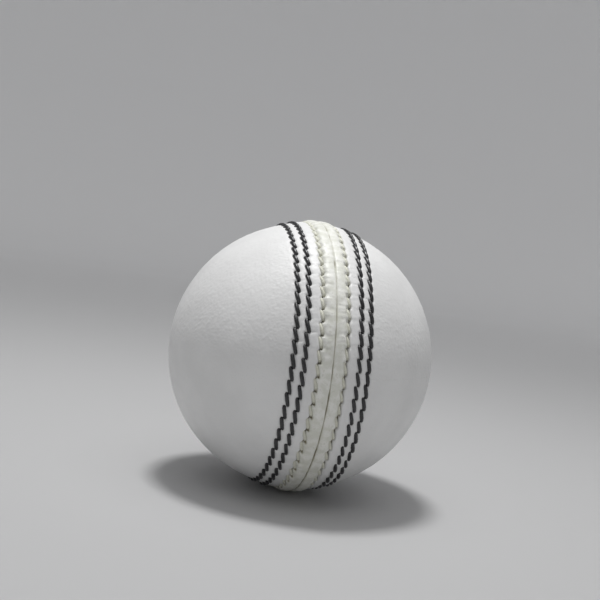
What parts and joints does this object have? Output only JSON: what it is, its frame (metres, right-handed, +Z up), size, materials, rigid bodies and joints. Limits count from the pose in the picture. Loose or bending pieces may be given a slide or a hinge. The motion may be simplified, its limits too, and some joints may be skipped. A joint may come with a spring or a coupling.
{
  "type": "cricket ball",
  "caption": "White leather cricket ball with a raised stitched seam, black outer stitching and cream inner stitching around a wound cork core.",
  "frame": {"origin": "the ball's centre, in the plane of the seam", "axes": "+X is the seam's axis, square to the plane of the seam and towards the right half; the seam lies in the YZ plane; +Z is up, and the ball rests on its seam"},
  "size_m": [0.0706, 0.0728, 0.0728],
  "materials": {
    "white_leather": "white dyed, pebbled, polished to a soft gloss",
    "lip_leather": "pared raw edge drawn up by the stitches, waxed, greenish cream",
    "black_thread": "waxed linen thread, dyed black",
    "cream_thread": "waxed linen thread, natural cream",
    "linen_thread": "natural linen, lightly waxed",
    "lining_leather": "undyed thin leather, matte",
    "wool_yarn": "tightly wound wool worsted yarn",
    "cork": "pressed natural cork, matte",
    "cork_rubber": "moulded cork granules in rubber, matte"
  },
  "bodies": {
    "root": {"core_nucleus": "cork_rubber", "yarn_winding_1": "wool_yarn", "cork_layer_1_left": "cork", "cork_layer_1_right": "cork", "yarn_winding_2": "wool_yarn", "cork_layer_2_front": "cork", "cork_layer_2_back": "cork", "yarn_winding_3": "wool_yarn", "lining_left_front": "lining_leather", "lining_left_back": "lining_leather", "lining_right_upper": "lining_leather", "lining_right_lower": "lining_leather", "quarter_thread_left": "linen_thread", "quarter_thread_right": "linen_thread", "quarter_left_front": "white_leather", "quarter_left_back": "white_leather", "quarter_right_upper": "white_leather", "quarter_right_lower": "white_leather", "lip_left": "lip_leather", "lip_right": "lip_leather", "row_1_left_outer": "black_thread", "row_2_left_middle": "black_thread", "row_3_left_inner": "cream_thread", "row_4_right_inner": "cream_thread", "row_5_right_middle": "black_thread", "row_6_right_outer": "black_thread"}
  },
  "joints": []
}
